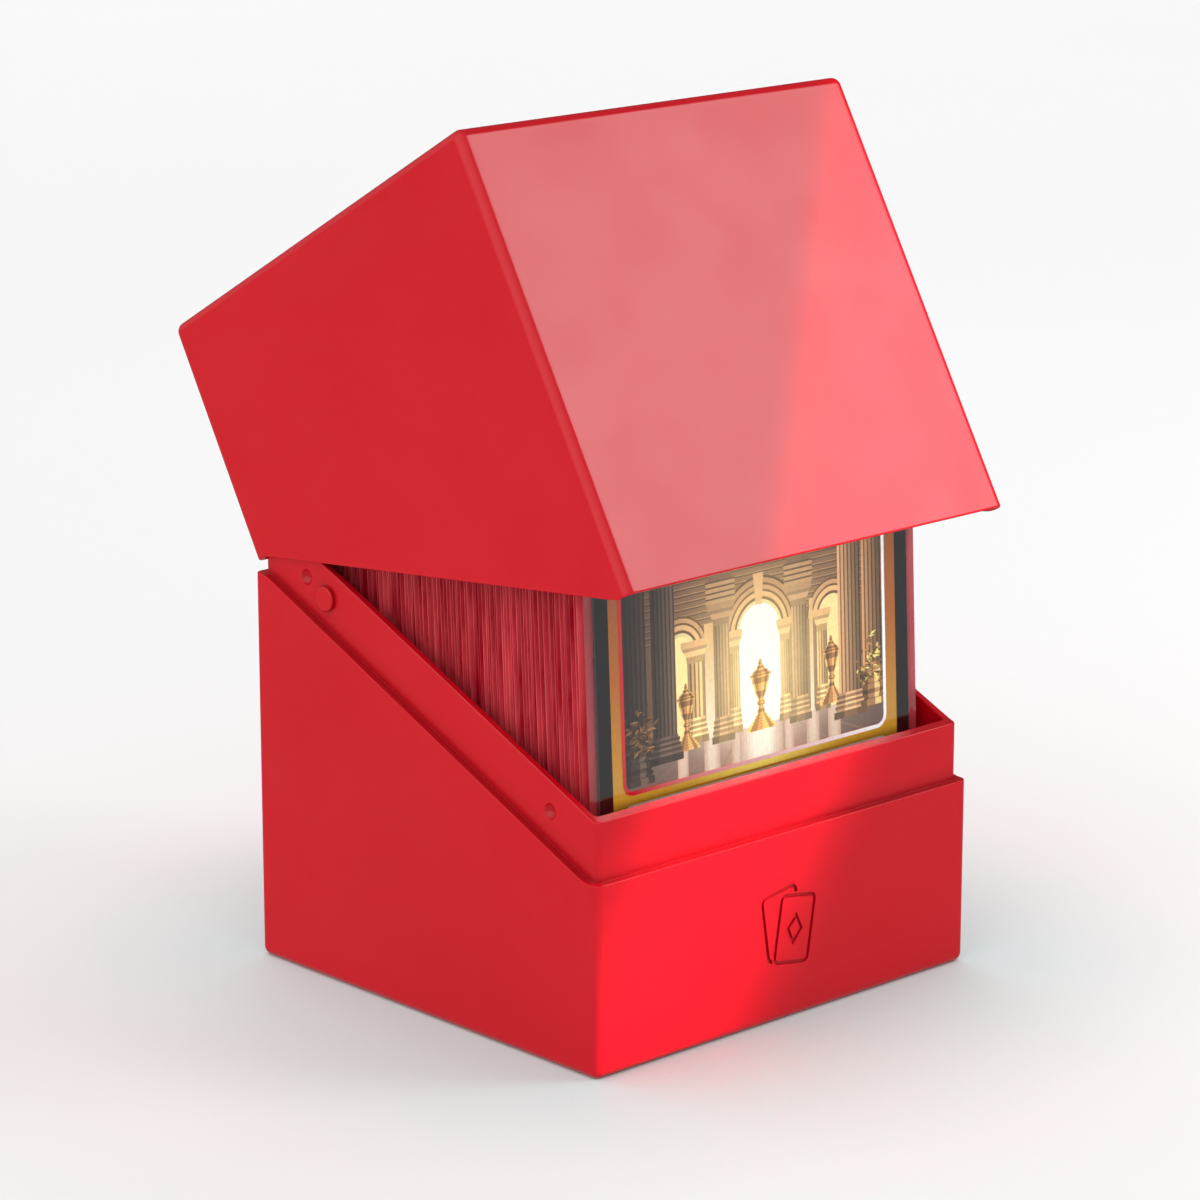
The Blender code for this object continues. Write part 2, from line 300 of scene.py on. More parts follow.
def round_rectangle(width, height, radius, lean=0.0, shift=(0.0, 0.0), steps=6):
    outline = []
    for quarter, (sx, sy) in enumerate(((1, 1), (-1, 1), (-1, -1), (1, -1))):
        centre = Vector((sx * (width / 2 - radius), sy * (height / 2 - radius)))
        for step in range(steps + 1):
            angle = (quarter + step / steps) * math.pi / 2
            point = centre + radius * Vector((math.cos(angle), math.sin(angle)))
            outline.append(tuple(Matrix.Rotation(lean, 2) @ point + Vector(shift)))
    return outline


def lathe_x(profile, side, at, segments=40):
    """A closed round body about an axis along X. The profile is (radius, x) from tip to root."""
    points, faces = [], []
    for radius, x in profile:
        for k in range(segments):
            angle = 2 * math.pi * k / segments
            points.append((side * x, at[0] + radius * math.cos(angle), at[1] + radius * math.sin(angle)))
    for i in range(len(profile) - 1):
        for k in range(segments):
            j = (k + 1) % segments
            faces.append([i * segments + k, i * segments + j, (i + 1) * segments + j, (i + 1) * segments + k])
    faces.append(list(range(segments)))
    faces.append([len(points) - segments + k for k in range(segments)])
    return from_faces("lathe", points, faces)


def ball(radius, at):
    mesh = bpy.data.meshes.new("ball")
    solid = bmesh.new()
    bmesh.ops.create_uvsphere(solid, u_segments=32, v_segments=24, radius=radius)
    bmesh.ops.translate(solid, verts=solid.verts, vec=at)
    solid.to_mesh(mesh)
    solid.free()
    return new_object("ball", mesh)


# ---------------------------------------------------------------- materials

def linear(rgb):
    """Colour from 0-255 display values."""
    return tuple((c / 255) ** 2.2 for c in rgb)


class Finish:
    """A Principled material with short ways to add procedural detail."""

    def __init__(self, name, colour, roughness, **sockets):
        self.material = bpy.data.materials.new(name)
        self.material.use_nodes = True
        self.tree = self.material.node_tree
        self.shader = self.tree.nodes["Principled BSDF"]
        self.shader.inputs["Base Color"].default_value = (*colour, 1.0)
        self.shader.inputs["Roughness"].default_value = roughness
        for key, value in sockets.items():
            self.shader.inputs[key.replace("_", " ")].default_value = value
        self.where = self.tree.nodes.new("ShaderNodeTexCoord").outputs["Object"]

    def node(self, kind, **settings):
        node = self.tree.nodes.new(kind)
        for key, value in settings.items():
            setattr(node, key, value)
        return node

    def link(self, out, socket):
        self.tree.links.new(out, socket)

    def noise(self, scale, detail=2.0, stretch=(1, 1, 1)):
        mapping = self.node("ShaderNodeMapping")
        mapping.inputs["Scale"].default_value = stretch
        noise = self.node("ShaderNodeTexNoise")
        noise.inputs["Scale"].default_value = scale
        noise.inputs["Detail"].default_value = detail
        self.link(self.where, mapping.inputs["Vector"])
        self.link(mapping.outputs["Vector"], noise.inputs["Vector"])
        return noise.outputs["Fac"]

    def ranged(self, value, low, high):
        span = self.node("ShaderNodeMapRange")
        span.inputs["From Min"].default_value = 0.3
        span.inputs["From Max"].default_value = 0.7
        span.inputs["To Min"].default_value = low
        span.inputs["To Max"].default_value = high
        self.link(value, span.inputs["Value"])
        return span.outputs["Result"]

    def rough(self, value, low, high):
        self.link(self.ranged(value, low, high), self.shader.inputs["Roughness"])

    def tint(self, value, first, second):
        mix = self.node("ShaderNodeMix", data_type="RGBA")
        mix.inputs["A"].default_value = (*first, 1.0)
        mix.inputs["B"].default_value = (*second, 1.0)
        self.link(self.ranged(value, 0.0, 1.0), mix.inputs["Factor"])
        self.link(mix.outputs["Result"], self.shader.inputs["Base Color"])
        return mix

    def near_box(self, colour):
        """Cool the colour around the origin, where red bounces off the box onto the floor."""
        length = self.node("ShaderNodeVectorMath", operation="LENGTH")
        self.link(self.where, length.inputs[0])
        share = self.node("ShaderNodeMapRange", interpolation_type="SMOOTHSTEP")
        share.inputs["From Min"].default_value = 0.04
        share.inputs["From Max"].default_value = 0.095
        share.inputs["To Min"].default_value = 1.0
        share.inputs["To Max"].default_value = 0.0
        self.link(length.outputs["Value"], share.inputs["Value"])
        cool = self.node("ShaderNodeMix", data_type="RGBA", blend_type="MULTIPLY")
        cool.inputs["B"].default_value = (0.80, 0.97, 0.965, 1.0)
        self.link(share.outputs["Result"], cool.inputs["Factor"])
        self.link(colour, cool.inputs["A"])
        self.link(cool.outputs["Result"], self.shader.inputs["Base Color"])

    def corner_shade(self, colour, reach, shade):
        """Painted shade: darken the colour where the surface meets a wall within reach, as at the foot of the
        collar.
        """
        open_share = self.node("ShaderNodeAmbientOcclusion", samples=6, only_local=True)
        open_share.inputs["Distance"].default_value = reach
        depth = self.node("ShaderNodeMapRange")
        depth.inputs["From Min"].default_value = 0.6
        depth.inputs["From Max"].default_value = 0.93
        depth.inputs["To Min"].default_value = 1.0
        depth.inputs["To Max"].default_value = 0.0
        self.link(open_share.outputs["AO"], depth.inputs["Value"])
        painted_shade = self.node("ShaderNodeMix", data_type="RGBA", blend_type="MULTIPLY")
        painted_shade.inputs["B"].default_value = (*shade, 1.0)
        self.link(depth.outputs["Result"], painted_shade.inputs["Factor"])
        self.link(colour, painted_shade.inputs["A"])
        self.link(painted_shade.outputs["Result"], self.shader.inputs["Base Color"])

    def bump(self, value, distance, strength=1.0):
        bump = self.node("ShaderNodeBump")
        bump.inputs["Distance"].default_value = distance
        bump.inputs["Strength"].default_value = strength
        self.link(value, bump.inputs["Height"])
        self.link(bump.outputs["Normal"], self.shader.inputs["Normal"])


def red_plastic():
    finish = Finish("red_plastic", (0.72, 0.0015, 0.012), 0.24)
    mix = finish.tint(finish.noise(22, 3), (0.70, 0.0014, 0.0115), (0.74, 0.0017, 0.0125))
    # Painted shade: the plastic darkens in inside corners, as on the ledge at the foot of the collar.
    finish.corner_shade(mix.outputs["Result"], 3 * MM, (0.6, 0.1, 0.4))
    finish.rough(finish.noise(90, 4), 0.21, 0.27)
    finish.bump(finish.noise(2600, 2), 0.004 * MM, 0.5)
    return finish.material


def painted(name, roughness, **sockets):
    """A print: its colours are in the mesh, broken up by a fine procedural grain."""
    finish = Finish(name, (1, 1, 1), roughness, **sockets)
    inks = finish.node("ShaderNodeVertexColor", layer_name="ink")
    grain = finish.node("ShaderNodeMix", data_type="RGBA", blend_type="MULTIPLY")
    grain.inputs["Factor"].default_value = 1.0
    finish.link(inks.outputs["Color"], grain.inputs["A"])
    finish.link(finish.ranged(finish.noise(1500, 3), 0.93, 1.05), grain.inputs["B"])
    finish.link(grain.outputs["Result"], finish.shader.inputs["Base Color"])
    finish.rough(finish.noise(300, 2), roughness - 0.05, roughness + 0.05)
    return finish.material


def clear_film():
    finish = Finish("clear_film", (0.9, 0.9, 0.9), 0.05, Metallic=1.0, Alpha=0.1)
    finish.rough(finish.noise(60, 2, (1, 1, 0.2)), 0.03, 0.08)
    finish.bump(finish.noise(45, 1, (1, 1, 0.25)), 0.02 * MM, 0.4)
    return finish.material


def red_film(name, dark, light, **sockets):
    finish = Finish(name, light, 0.22, IOR=1.62, **sockets)
    # Painted highlights: the pale colour in these streaks across the stack stands in for glints on the
    # sleeves' edges.
    finish.tint(finish.noise(1500, 3, (0.01, 1, 0.01)), dark, light)
    finish.rough(finish.noise(400, 2, (0.05, 1, 0.05)), 0.14, 0.34)
    finish.bump(finish.noise(60, 2, (1, 1, 0.15)), 0.03 * MM, 0.5)
    return finish.material


def card_stock():
    finish = Finish("card_stock", (0.06, 0.055, 0.055), 0.6)
    finish.tint(finish.noise(900, 3), (0.045, 0.04, 0.04), (0.08, 0.075, 0.07))
    finish.bump(finish.noise(1800, 3), 0.01 * MM, 0.5)
    return finish.material


RED = red_plastic()
CLEAR = clear_film()
# The second colour of each sleeve film is its painted highlight.
RED_FILM = red_film("red_film", (0.54, 0.003, 0.022), (1.0, 0.13, 0.16))
BACK_FILM = red_film("back_film", (0.85, 0.09, 0.12), (1.0, 0.17, 0.2), Transmission_Weight=0.5)
STOCK = card_stock()
PRINT = painted("card_print", 0.38)


# ---------------------------------------------------------------- shells

def make_base():
    ledge = split_height(SPLIT_FRONT_Z, SPLIT_KNEE, SPLIT_RADIUS)
    collar = split_height(COLLAR_FRONT_Z, COLLAR_KNEE, COLLAR_KNEE_RADIUS)
    in_side = LEDGE_SIDE + COLLAR_WALL_SIDE
    in_front = LEDGE_FRONT + COLLAR_WALL_FRONT
    rows = []
    for inset, rise in quarter_arc(6):
        edge = EDGE_RADIUS * inset
        rows.append((edge, edge, EDGE_RADIUS - edge, level(0.0), EDGE_RADIUS * rise))
    for rise, inset in quarter_arc():
        edge = LEDGE_FILLET * inset
        rows.append((edge, edge, EDGE_RADIUS - edge, ledge, -LEDGE_FILLET * rise))
    for inset, rise in quarter_arc():
        edge = ROOT_FILLET * inset
        rows.append((LEDGE_SIDE - edge, LEDGE_FRONT - edge, COLLAR_RADIUS + edge, ledge, ROOT_FILLET * rise))
    for rise, inset in quarter_arc():
        edge = RIM_FILLET * inset
        rows.append((LEDGE_SIDE + edge, LEDGE_FRONT + edge, COLLAR_RADIUS - edge, collar, -RIM_FILLET * rise))
    for inset, rise in quarter_arc():
        edge = RIM_FILLET * inset
        rows.append((in_side - edge, in_front - edge, INNER_RADIUS + edge, collar, -RIM_FILLET * rise))
    for rise, inset in quarter_arc():
        edge = INSIDE_FILLET * inset
        rows.append((in_side + edge, in_front + edge, INNER_RADIUS - edge,
                     level(FLOOR), INSIDE_FILLET * rise))
    base = loft("base_moulding", rows)
    collar_x = HALF_X - LEDGE_SIDE
    rounding = 0.3 * MM
    for side in SIDES:
        profile = [(0.3 * MM, collar_x + STUD_HEIGHT)]
        for rise, inset in quarter_arc(6):
            profile.append((STUD_RADIUS - rounding * rise, collar_x + STUD_HEIGHT - rounding * inset))
        profile.append((STUD_RADIUS, collar_x - 0.5 * MM))
        combine(base, lathe_x(profile, side, STUD_AT), "UNION")
        radius = (DIMPLE_RADIUS ** 2 + DIMPLE_DEPTH ** 2) / (2 * DIMPLE_DEPTH)
        for at in DIMPLES_AT:
            combine(base, ball(radius, (side * (collar_x + radius - DIMPLE_DEPTH), *at)))
    engrave_emblem(base)
    base.data.materials.append(RED)
    smooth(base)
    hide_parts("base_shell", "collar_liner")
    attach(base, "base")


def emblem_outline(grow, lean, shift):
    width, height = EMBLEM_CARD
    return round_rectangle(width + grow, height + grow, EMBLEM_CORNER + grow / 2, lean, shift)


def diamond_outline(share, lean, shift):
    wide, high = (reach * share for reach in DIAMOND_REACH)
    turn = Matrix.Rotation(lean, 2)
    corners = ((wide, 0), (0, high), (-wide, 0), (0, -high))
    return [tuple(turn @ Vector(corner) + Vector(shift)) for corner in corners]


def engrave_emblem(base):
    """Two fanned card outlines, the front one with a diamond."""
    plane = front_plane(-HALF_Y)
    depth = 2 * GROOVE_DEPTH
    front_card = (-EMBLEM_LEAN, (EMBLEM_SHIFT, EMBLEM_Z - EMBLEM_SHIFT / 2))
    back_card = (EMBLEM_LEAN, (-EMBLEM_SHIFT, EMBLEM_Z + EMBLEM_SHIFT / 2))
    rings = [emblem_outline(0.0, *back_card), emblem_outline(-2 * GROOVE_WIDTH, *back_card)]
    behind = prism(rings, depth, plane)
    combine(behind, prism([emblem_outline(GROOVE_WIDTH, *front_card)], 2 * depth, plane))
    combine(base, behind)
    combine(base, prism([emblem_outline(0.0, *front_card), emblem_outline(-2 * GROOVE_WIDTH, *front_card)],
                        depth, plane))
    diamonds = [diamond_outline(1.0, *front_card), diamond_outline(DIAMOND_CORE, *front_card)]
    combine(base, prism(diamonds, depth, plane))


def stud_slot(side):
    """Cutter for the groove in the lid's side wall, along the stud's way out."""
    arm = Vector((STUD_AT[0] - HINGE.y, STUD_AT[1] - HINGE.z))
    start = math.atan2(arm.y, arm.x)
    half_width = STUD_RADIUS + SLOT_CLEARANCE
    steps = 16

    def at(radius, angle):
        return (HINGE.y + radius * math.cos(angle), HINGE.z + radius * math.sin(angle))

    sweep = [start + SLOT_SWEEP * step / steps for step in range(steps + 1)]
    outer = [at(arm.length + half_width, angle) for angle in sweep]
    inner = [at(arm.length - half_width, angle) for angle in reversed(sweep)]
    centre = Vector(at(arm.length, start))
    cap = []
    for step in range(1, steps):
        angle = start + math.pi + math.pi * step / steps
        cap.append(tuple(centre + half_width * Vector((math.cos(angle), math.sin(angle)))))
    wall_x = side * (HALF_X - LID_WALL_SIDE)
    return prism([outer + inner + cap], 2 * SLOT_DEPTH, side_plane(wall_x))


def make_lid():
    """Lofted closed, then turned back to its resting angle."""
    rim = split_height(SPLIT_FRONT_Z + SEAM, SPLIT_KNEE, SPLIT_RADIUS)
    rows = []
    for inset, rise in quarter_arc(6):
        edge = LID_EDGE_RADIUS * inset
        rows.append((edge, edge, LID_EDGE_RADIUS - edge, level(HEIGHT), -LID_EDGE_RADIUS * rise))
    for rise, inset in quarter_arc():
        edge = RIM_FILLET * inset
        rows.append((edge, edge, LID_EDGE_RADIUS - edge, rim, RIM_FILLET * rise))
    for inset, rise in quarter_arc():
        edge = RIM_FILLET * inset
        rows.append((LID_WALL_SIDE - edge, LID_WALL_FRONT - edge, COLLAR_RADIUS + edge,
                     rim, RIM_FILLET * rise))
    for rise, inset in quarter_arc():
        edge = COLLAR_RADIUS * inset
        rows.append((LID_WALL_SIDE + edge, LID_WALL_FRONT + edge, COLLAR_RADIUS - edge,
                     level(HEIGHT - LID_TOP), -COLLAR_RADIUS * rise))
    lid = loft("lid_moulding", rows)
    wall_x = HALF_X - LID_WALL_SIDE
    for side in SIDES:
        combine(lid, stud_slot(side))
        for at in DIMPLES_AT:
            combine(lid, ball(BUMP_RADIUS, (side * (wall_x + BUMP_RADIUS - BUMP_HEIGHT), *at)), "UNION")
    turn = Matrix.Translation(HINGE) @ Matrix.Rotation(-LID_REST_ANGLE, 4, "X") @ Matrix.Translation(-HINGE)
    lid.data.transform(turn)
    lid.data.materials.append(RED)
    smooth(lid)
    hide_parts("lid_shell")
    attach(lid, "lid")


# ---------------------------------------------------------------- sleeves

def lean_frame(y, z=FLOOR + REST_GAP):
    return Matrix.Translation((DECK_SHIFT, y, z)) @ Matrix.Rotation(-DECK_LEAN, 4, "X")


def grid_sheet(name, columns, height, rows=10):
    """A thin closed sheet. columns holds (x, front y, back y) from left to right."""
    points, faces = [], []
    n = len(columns)
    for row in range(rows + 1):
        z = height * row / rows
        points += [(x, front, z) for x, front, _ in columns]
        points += [(x, back, z) for x, _, back in reversed(columns)]
    for row in range(rows):
        a, b = row * 2 * n, (row + 1) * 2 * n
        for i in range(2 * n):
            j = (i + 1) % (2 * n)
            faces.append([a + i, a + j, b + j, b + i])
    faces.append(list(range(2 * n)))
    faces.append([rows * 2 * n + i for i in range(2 * n)])
    return from_faces(name, points, faces)


def pocket_columns(weld_y, flat_y, thickness, half):
    """Across a film: flat over the card, and bent to the weld line at both edges."""
    card = CARD_WIDTH / 2
    xs = [-half, -half + 0.5 * MM, -half + 0.75 * MM, -card - 0.25 * MM, -card + 0.3 * MM]
    xs += [-card * 0.5, 0.0]
    xs += [-x for x in reversed(xs[:-1])]
    columns = []
    for x in xs:
        t = (half - 0.6 * MM - abs(x)) / (half - card - 0.4 * MM)
        t = min(max(t, 0.0), 1.0)
        t = t * t * (3 - 2 * t)
        y = weld_y + (flat_y - weld_y) * t
        columns.append((x, y, y + thickness))
    return columns


def make_front_sleeve():
    half = SLEEVE_WIDTH / 2
    film = 0.07 * MM
    place = lean_frame(DECK_FRONT_Y)
    front = grid_sheet("sleeve_front_film", pocket_columns(0.40 * MM, 0.08 * MM, film, half), SLEEVE_HEIGHT)
    back = grid_sheet("sleeve_back_film", pocket_columns(0.48 * MM, 0.70 * MM, film, half), SLEEVE_HEIGHT)
    for obj, mat, slot in ((front, CLEAR, "sleeve_film"), (back, BACK_FILM, "sleeve_film")):
        obj.data.transform(place)
        obj.data.materials.append(mat)
        smooth(obj)
        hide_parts("front_sleeve")
        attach(obj, "base")


def sleeve_outline(bulge, left_weld, right_weld):
    """Across a filled sleeve: flat over the card, thin and a little off line at both welds."""
    half = SLEEVE_WIDTH / 2
    card = CARD_WIDTH / 2
    film = 0.05 * MM
    weld = half - 0.7 * MM
    shoulder = card + 0.1 * MM
    flat = card - 0.8 * MM
    return [
        (-half, left_weld - film), (-weld, left_weld - film), (-shoulder, -bulge * 0.8), (-flat, -bulge),
        (flat, -bulge), (shoulder, -bulge * 0.8), (weld, right_weld - film), (half, right_weld - film),
        (half, right_weld + film), (weld, right_weld + film), (shoulder, bulge * 0.8), (flat, bulge),
        (-flat, bulge), (-shoulder, bulge * 0.8), (-weld, left_weld + film), (-half, left_weld + film),
    ]


def make_packet(index):
    """Five filled sleeves, with the small irregularities of a real deck."""
    points, faces = [], []
    rows = 8
    first_y = POCKET_DEPTH + REST_GAP + index * CARDS_PER_PACKET * SLEEVED_PITCH
    for number in range(CARDS_PER_PACKET):
        middle = first_y + (number + 0.5) * SLEEVED_PITCH - 0.12 * MM
        stand = lean_frame(DECK_FRONT_Y + middle)
        shift = random.uniform(-0.28, 0.28) * MM
        lift = random.uniform(0.0, 0.25) * MM
        turn = math.radians(random.uniform(-0.12, 0.12))
        bulge = random.uniform(0.17, 0.26) * MM
        left_weld = random.uniform(-0.2, 0.2) * MM
        right_weld = random.uniform(-0.2, 0.2) * MM
        outline = sleeve_outline(bulge, left_weld, right_weld)
        n = len(outline)
        place = stand @ Matrix.Translation((shift, 0, lift)) @ Matrix.Rotation(turn, 4, "Y")
        sway = [random.uniform(-0.035, 0.035) * MM for _ in range(rows + 1)]
        start = len(points)
        for row in range(rows + 1):
            z = SLEEVE_HEIGHT * row / rows
            points += [place @ Vector((x, y + sway[row], z)) for x, y in outline]
        faces.append([start + i for i in range(n)])
        for row in range(rows):
            a = start + row * n
            b = a + n
            faces += [[a + i, a + (i + 1) % n, b + (i + 1) % n, b + i] for i in range(n)]
        faces.append([start + rows * n + i for i in range(n)])
    mesh_name = f"sleeves_{index + 1:02d}"
    mesh = bpy.data.meshes.new(mesh_name)
    mesh.from_pydata([tuple(p) for p in points], [], faces)
    solid = bmesh.new()
    solid.from_mesh(mesh)
    bmesh.ops.recalc_face_normals(solid, faces=solid.faces)
    solid.to_mesh(mesh)
    solid.free()
    packet = new_object(mesh_name, mesh)
    packet.data.materials.append(RED_FILM)
    smooth(packet, 40)
    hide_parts(f"sleeved_cards_{index + 1:02d}")
    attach(packet, "base")


# ---------------------------------------------------------------- the printed card

LAYER = 0.009 * MM


class Print:
    """Flat inked shapes in the card's own plane, in millimetres from its lower left corner."""

    def __init__(self, name):
        self.name = name
        self.points, self.faces, self.inks = [], [], []

    def shape(self, outline, ink, layer):
        """A filled outline. ink is one colour, or a function of (u, v)."""
        start = len(self.points)
        for u, v in outline:
            self.points.append((u - CARD_WIDTH / MM / 2, v, layer))
            self.inks.append(linear(ink(u, v) if callable(ink) else ink))
        self.faces.append([start + i for i in range(len(outline))])

    def strip(self, first, second, ink, layer):
        """Quads between two lines with the same number of points."""
        for (a, b), (d, c) in zip(zip(first, first[1:]), zip(second, second[1:])):
            self.shape([a, b, c, d], ink, layer)

    def block(self, u0, v0, u1, v1, ink, layer, nu=1, nv=1):
        for i in range(nu):
            for j in range(nv):
                a = u0 + (u1 - u0) * i / nu
                b = u0 + (u1 - u0) * (i + 1) / nu
                c = v0 + (v1 - v0) * j / nv
                d = v0 + (v1 - v0) * (j + 1) / nv
                self.shape([(a, c), (b, c), (b, d), (a, d)], ink, layer)

    def build(self, surface_y, base_z):
        mesh = bpy.data.meshes.new(self.name)
        points = [(u * MM, surface_y - layer * LAYER, base_z + v * MM) for u, v, layer in self.points]
        mesh.from_pydata(points, [], self.faces)
        ink = mesh.color_attributes.new("ink", "FLOAT_COLOR", "POINT")
        for entry, colour in zip(ink.data, self.inks):
            entry.color = (*colour, 1.0)
        obj = new_object(self.name, mesh)
        solidify = obj.modifiers.new("Solidify", "SOLIDIFY")
        solidify.thickness = LAYER * 0.8
        solidify.offset = 0.0
        return obj


def mixed(a, b, t):
    t = min(max(t, 0.0), 1.0)
    return tuple(x + (y - x) * t for x, y in zip(a, b))


def bent(*stops):
    """A colour ramp over (position, colour) stops."""
    def ramp(t):
        for (p0, c0), (p1, c1) in zip(stops, stops[1:]):
            if t <= p1:
                return mixed(c0, c1, (t - p0) / (p1 - p0))
        return stops[-1][1]
    return ramp


def frame_line(art, low, high, width, radius, ink, layer):
    """A thin rounded rectangle ring."""
    (u0, v0), (u1, v1) = low, high
    centre = ((u0 + u1) / 2, (v0 + v1) / 2)
    outer = round_rectangle(u1 - u0, v1 - v0, radius, 0.0, centre, 8)
    inner = round_rectangle(u1 - u0 - 2 * width, v1 - v0 - 2 * width, radius - width, 0.0, centre, 8)
    art.strip(outer + outer[:1], inner + inner[:1], ink, layer)


# The picture window on the card, and how far the thin line stands outside it. The hall is drawn to a
# height of one, which covers HALL_SHARE of the window.
PIC_LOW = (4.95, 35.6)
PIC_HIGH = (57.7, 82.6)
PIC_SIZE = (PIC_HIGH[0] - PIC_LOW[0], PIC_HIGH[1] - PIC_LOW[1])
LINE_OUTSIDE = 0.45
HALL_SHARE = 0.70
HALL_TOP = 1 / HALL_SHARE
FLOOR_LINE = 0.15
GLOW_U = 0.515
GLOW_V = 0.40


def pic(u, v):
    """Card position of a place in the hall, held inside the window."""
    u = min(max(u, 0.0), 1.0)
    v = min(max(v, 0.0), HALL_TOP)
    return (PIC_LOW[0] + u * PIC_SIZE[0], PIC_LOW[1] + v * HALL_SHARE * PIC_SIZE[1])


def hall(u, v):
    """The place in the hall of a card position."""
    return (u - PIC_LOW[0]) / PIC_SIZE[0], (v - PIC_LOW[1]) / PIC_SIZE[1] / HALL_SHARE


def lit(colour, gain=1.0):
    """The colour, brightened towards the golden light in the middle of the hall and dimmed at its sides."""
    def ink(u, v):
        p, q = hall(u, v)
        near = math.exp(-((p - GLOW_U) / 0.24) ** 2 - ((q - GLOW_V) / 0.42) ** 2)
        shade = mixed(tuple(min(c * 1.04, 255) for c in colour), (255, 230, 158), 0.78 * gain * near)
        edge = min(max((abs(p - 0.5) - 0.22) / 0.3, 0.0), 1.0)
        return mixed(shade, (44, 38, 36), 0.5 * edge * (1.2 if p < 0.5 else 0.2))
    return ink


def patch(art, left, foot, right, top, ink, layer, nu=1, nv=1):
    """A rectangle given in the hall's own coordinates."""
    art.block(*pic(left, foot), *pic(right, top), ink, layer, nu, nv)


def tapered(u, foot, top, left, right, low_half, high_half):
    """Outline of the share from left to right of a band whose half-width changes from foot to top."""
    return [pic(u + left * low_half, foot), pic(u + right * low_half, foot),
            pic(u + right * high_half, top), pic(u + left * high_half, top)]


def arch(art, u, spring, half, rings, glow, layer):
    """A round-headed opening full of light, with moulded rings over it."""
    steps = 24
    aspect = PIC_SIZE[0] / (PIC_SIZE[1] * HALL_SHARE)

    def bow(radius):
        angles = [math.pi * k / steps for k in range(steps + 1)]
        return [pic(u + radius * math.cos(t), spring + radius * aspect * math.sin(t)) for t in angles]

    for number, (width, colour) in enumerate(rings):
        inner = half + sum(w for w, _ in rings[:number])
        art.strip(bow(inner), bow(inner + width), lit(colour, 0.7), layer)
    hub = pic(u, spring)
    head = bow(half)
    for a, b in zip(head, head[1:]):
        art.shape([hub, a, b], glow, layer)
    patch(art, u - half, FLOOR_LINE, u + half, spring, glow, layer, 3, 6)


# The steps of a column's foot: start and rise over height, width over the shaft's, and tone.
COLUMN_FOOT = (
    (0.0, 0.032, 1.5, 0.62), (0.032, 0.012, 1.32, 1.2), (0.044, 0.014, 1.4, 0.8),
    (0.058, 0.010, 1.25, 1.3), (0.068, 0.012, 1.3, 0.7), (0.080, 0.010, 1.18, 1.25),
    (0.090, 0.014, 1.22, 0.75), (0.104, 0.012, 1.08, 1.15),
)


def column(art, u, foot, top, half, colour, layer, flutes=5):
    """A fluted column with a stepped foot and a flared capital."""
    shaft_low = foot + 0.115
    shaft_high = top - 0.10
    for k in range(flutes):
        a = u - half + 2 * half * k / flutes
        b = a + 2 * half / flutes
        across = (k + 0.5) / flutes
        shine = 0.6 + 0.7 * (across if u < GLOW_U else 1 - across)
        ridge = tuple(c * shine for c in colour)
        groove = tuple(c * shine * 0.55 for c in colour)
        cut = a + (b - a) * 0.62
        for left, right, ink in ((a, cut, ridge), (cut, b, groove)):
            low = pic(left, shaft_low)
            high = pic(right, shaft_high)
            art.block(low[0], low[1], high[0], high[1], lit(ink), layer, 1, 6)
    for start, rise, wide, tone in COLUMN_FOOT:
        for left, right, side in ((-1.0, -0.4, 0.8), (-0.4, 0.4, 1.15), (0.4, 1.0, 0.95)):
            ink = lit(tuple(min(c * tone * side, 255) for c in colour))
            low = foot + start
            patch(art, u + left * wide * half, low, u + right * wide * half, low + rise, ink, layer)
    flare = ((0.0, 1.02), (0.03, 1.12), (0.055, 1.45), (0.07, 1.6))
    for (start, wide), (end, wider) in zip(flare, flare[1:]):
        outline = [pic(u - half * wide, shaft_high + start), pic(u + half * wide, shaft_high + start),
                   pic(u + half * wider, shaft_high + end), pic(u - half * wider, shaft_high + end)]
        tone = 1.15 if start == 0.03 else 0.8
        art.shape(outline, lit(tuple(c * tone for c in colour)), layer)
    low = pic(u - half * 1.75, shaft_high + 0.07)
    high = pic(u + half * 1.75, shaft_high + 0.10)
    art.block(low[0], low[1], high[0], high[1], lit(colour), layer, 2, 1)


# Half-width over height of an urn on its stepped foot, from the floor up.
URN = (
    (0.0, 1.6), (0.04, 1.55), (0.045, 1.4), (0.08, 1.35), (0.085, 1.18), (0.12, 1.12), (0.125, 0.95),
    (0.16, 0.9), (0.165, 0.72), (0.205, 0.66), (0.21, 0.52), (0.25, 0.40), (0.30, 0.30), (0.35, 0.26),
    (0.37, 0.46), (0.40, 0.46), (0.41, 0.28), (0.46, 0.34), (0.55, 0.62), (0.66, 0.84), (0.74, 0.95),
    (0.76, 1.12), (0.79, 1.12), (0.80, 0.92), (0.84, 0.72), (0.87, 0.40), (0.90, 0.34), (0.92, 0.16),
    (0.95, 0.20), (0.97, 0.16), (1.0, 0.02),
)


def urn(art, u, foot, height, half, colour, layer):
    """A lidded bowl on a stem and a stepped foot, drawn as bands of light and shade."""
    bands = ((-1.0, -0.75, 1.35), (-0.75, -0.3, 0.72), (-0.3, 0.1, 0.95),
             (0.1, 0.5, 1.25), (0.5, 0.8, 0.8), (0.8, 1.0, 1.3))
    for number, ((v0, r0), (v1, r1)) in enumerate(zip(URN, URN[1:])):
        ring_tone = 0.72 if number % 2 else 1.08
        for left, right, tone in bands:
            outline = tapered(u, foot + v0 * height, foot + v1 * height, left, right, r0 * half, r1 * half)
            art.shape(outline, lit(tuple(min(c * tone * ring_tone, 255) for c in colour), 0.35), layer)


